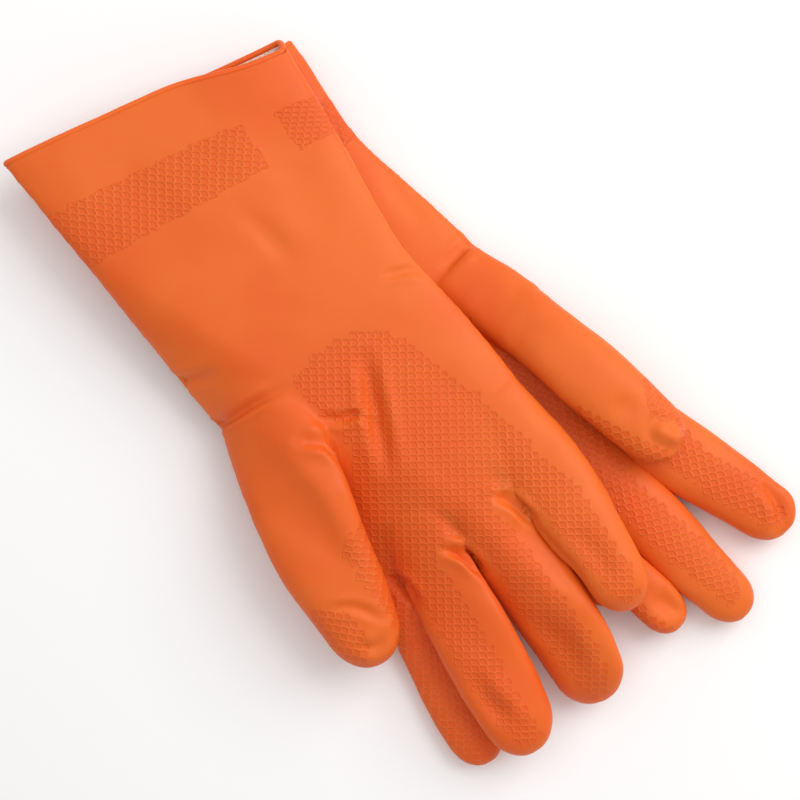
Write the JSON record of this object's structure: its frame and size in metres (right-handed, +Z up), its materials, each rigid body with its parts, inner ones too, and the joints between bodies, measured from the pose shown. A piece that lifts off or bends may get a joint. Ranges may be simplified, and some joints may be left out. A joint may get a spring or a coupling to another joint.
{
  "type": "rubber gloves",
  "caption": "Pair of long flock-lined household rubber gloves lying palm up, one across the other, with rolled cuffs and bending wrists, thumbs and fingers.",
  "frame": {"origin": "middle of the pair's bounding box at its base, where the gloves rest", "axes": "+Z up out of the palms, -Y along the right glove's fingers, +X towards the right glove's little finger"},
  "size_m": [0.2092, 0.3162, 0.0424],
  "materials": {
    "latex": "satin dipped latex with a soft sheen",
    "flock": "short soft cotton flock"
  },
  "bodies": {
    "left_hand": {"left_palm": "latex", "left_palm_lining": "flock"},
    "left_gauntlet": {"left_cuff": "latex", "left_cuff_lining": "flock", "left_cuff_bead": "latex"},
    "left_thumb": {"left_thumb": "latex", "left_thumb_lining": "flock"},
    "left_index_tip": {"left_index": "latex", "left_index_lining": "flock"},
    "left_middle_tip": {"left_middle": "latex", "left_middle_lining": "flock"},
    "left_ring_tip": {"left_ring": "latex", "left_ring_lining": "flock"},
    "left_little_tip": {"left_little": "latex", "left_little_lining": "flock"},
    "right_hand": {"right_palm": "latex", "right_palm_lining": "flock"},
    "right_gauntlet": {"right_cuff": "latex", "right_cuff_lining": "flock", "right_cuff_bead": "latex"},
    "right_thumb": {"right_thumb": "latex", "right_thumb_lining": "flock"},
    "right_index_tip": {"right_index": "latex", "right_index_lining": "flock"},
    "right_middle_tip": {"right_middle": "latex", "right_middle_lining": "flock"},
    "right_ring_tip": {"right_ring": "latex", "right_ring_lining": "flock"},
    "right_little_tip": {"right_little": "latex", "right_little_lining": "flock"}
  },
  "joints": [
    {"name": "left_wrist", "type": "hinge", "parent": "left_hand", "child": "left_gauntlet", "pos_m": [-0.03, 0.01152, 0], "axis": [-0.9544, -0.2984, 0], "range_deg": [0, 35], "stiffness_Nm_per_rad": 0.3},
    {"name": "left_thumb_bend", "type": "hinge", "parent": "left_hand", "child": "left_thumb", "pos_m": [0.05303, -0.0219, 0.03166], "axis": [-0.9621, -0.2726, 0], "range_deg": [0, 45], "stiffness_Nm_per_rad": 0.03},
    {"name": "left_index_bend", "type": "hinge", "parent": "left_hand", "child": "left_index_tip", "pos_m": [0.07965, -0.09014, 0.01681], "axis": [-0.8953, -0.4454, 0], "range_deg": [0, 60], "stiffness_Nm_per_rad": 0.03},
    {"name": "left_middle_bend", "type": "hinge", "parent": "left_hand", "child": "left_middle_tip", "pos_m": [0.0521, -0.11121, 0.0168], "axis": [-0.9656, -0.2602, 0], "range_deg": [0, 55], "stiffness_Nm_per_rad": 0.03},
    {"name": "left_ring_bend", "type": "hinge", "parent": "left_hand", "child": "left_ring_tip", "pos_m": [0.03346, -0.12604, 0.01707], "axis": [-0.9766, -0.2149, 0], "range_deg": [0, 45], "stiffness_Nm_per_rad": 0.03},
    {"name": "left_little_bend", "type": "hinge", "parent": "left_hand", "child": "left_little_tip", "pos_m": [0.01008, -0.08953, 0], "axis": [0.8763, 0.4817, 0], "range_deg": [0, 30], "stiffness_Nm_per_rad": 0.03},
    {"name": "right_wrist", "type": "hinge", "parent": "right_hand", "child": "right_gauntlet", "pos_m": [-0.03309, 0.03689, 0.03308], "axis": [0.9875, 0.1574, 0], "range_deg": [0, 55], "stiffness_Nm_per_rad": 0.3},
    {"name": "right_thumb_bend", "type": "hinge", "parent": "right_hand", "child": "right_thumb", "pos_m": [-0.05183, -0.02206, 0.04193], "axis": [-0.9898, 0.1427, 0], "range_deg": [0, 45], "stiffness_Nm_per_rad": 0.03},
    {"name": "right_index_bend", "type": "hinge", "parent": "right_hand", "child": "right_index_tip", "pos_m": [-0.06546, -0.10725, 0.00762], "axis": [-0.3391, 0.0264, -0.9404], "range_deg": [0, 40], "stiffness_Nm_per_rad": 0.03},
    {"name": "right_middle_bend", "type": "hinge", "parent": "right_hand", "child": "right_middle_tip", "pos_m": [-0.02571, -0.10835, 0.02941], "axis": [-1, 0.0068, 0], "range_deg": [0, 60], "stiffness_Nm_per_rad": 0.03},
    {"name": "right_ring_bend", "type": "hinge", "parent": "right_hand", "child": "right_ring_tip", "pos_m": [0.00554, -0.10636, 0.03325], "axis": [-0.9949, -0.1004, 0], "range_deg": [0, 60], "stiffness_Nm_per_rad": 0.03},
    {"name": "right_little_bend", "type": "hinge", "parent": "right_hand", "child": "right_little_tip", "pos_m": [0.02448, -0.08362, 0.03432], "axis": [-0.9986, -0.0533, 0], "range_deg": [0, 60], "stiffness_Nm_per_rad": 0.03},
    {"name": "lift_off", "type": "slide", "parent": "left_hand", "child": "right_hand", "axis": [0, 0, 1], "range_m": [0, 0.12]}
  ]
}
